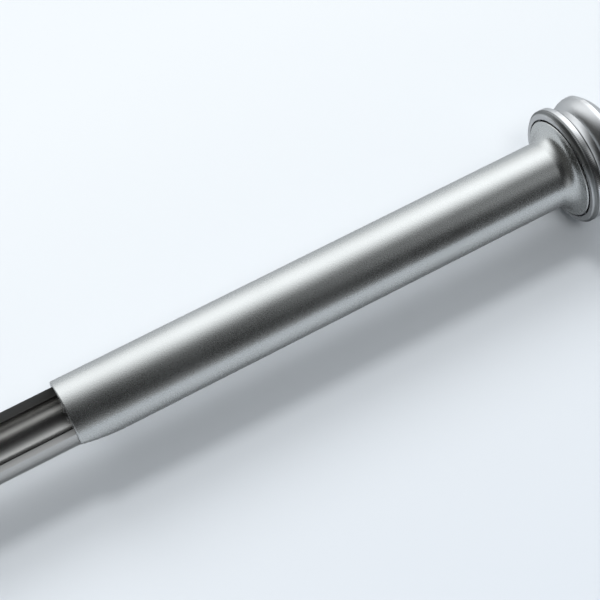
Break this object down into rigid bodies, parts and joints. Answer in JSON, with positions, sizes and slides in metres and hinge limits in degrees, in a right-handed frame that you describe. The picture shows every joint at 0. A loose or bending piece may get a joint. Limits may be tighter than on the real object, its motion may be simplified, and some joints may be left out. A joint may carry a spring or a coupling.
{
  "type": "cannulated chisel",
  "caption": "Hollow gouge on a round satin handle with a screwed striking head, bored right through so that it can be driven over a guide pin.",
  "frame": {"origin": "on the tool axis, in the plane where the handle sleeve ends and the channel of the blade starts", "axes": "+X along the tool axis from the cutting edge to the striking face, +Z out of the opening of the blade"},
  "size_m": [0.2326, 0.0278, 0.0278],
  "materials": {
    "blade_steel": "ground",
    "satin_steel": "satin, glass-bead blasted",
    "head_steel": "satin with a polished band",
    "ring_steel": "satin face, fine knurl, polished chamfer",
    "machined_steel": "machined",
    "drawn_steel": "drawn, bright",
    "seal_silicone": "matte"
  },
  "bodies": {
    "tool": {"chisel_blade": "blade_steel", "guide_tube": "drawn_steel", "handle_sleeve": "satin_steel", "front_seal": "seal_silicone", "rear_seal": "seal_silicone", "index_key": "drawn_steel", "lock_nut": "machined_steel"},
    "washer": {"thrust_washer": "drawn_steel"},
    "head": {"striking_head": "head_steel", "collar_ring": "ring_steel", "collar_dowels": "drawn_steel"}
  },
  "joints": [
    {"name": "washer_travel", "type": "slide", "parent": "tool", "child": "washer", "axis": [1, 0, 0], "range_m": [0, 0.0082]},
    {"name": "head_thread", "type": "hinge", "parent": "washer", "child": "head", "pos_m": [0.126, 0, 0], "axis": [1, 0, 0], "range_deg": [0, 2880]}
  ],
  "couplings": [
    {"joint": "washer_travel", "follows": "head_thread", "m_per_rad": 0.00015915}
  ]
}
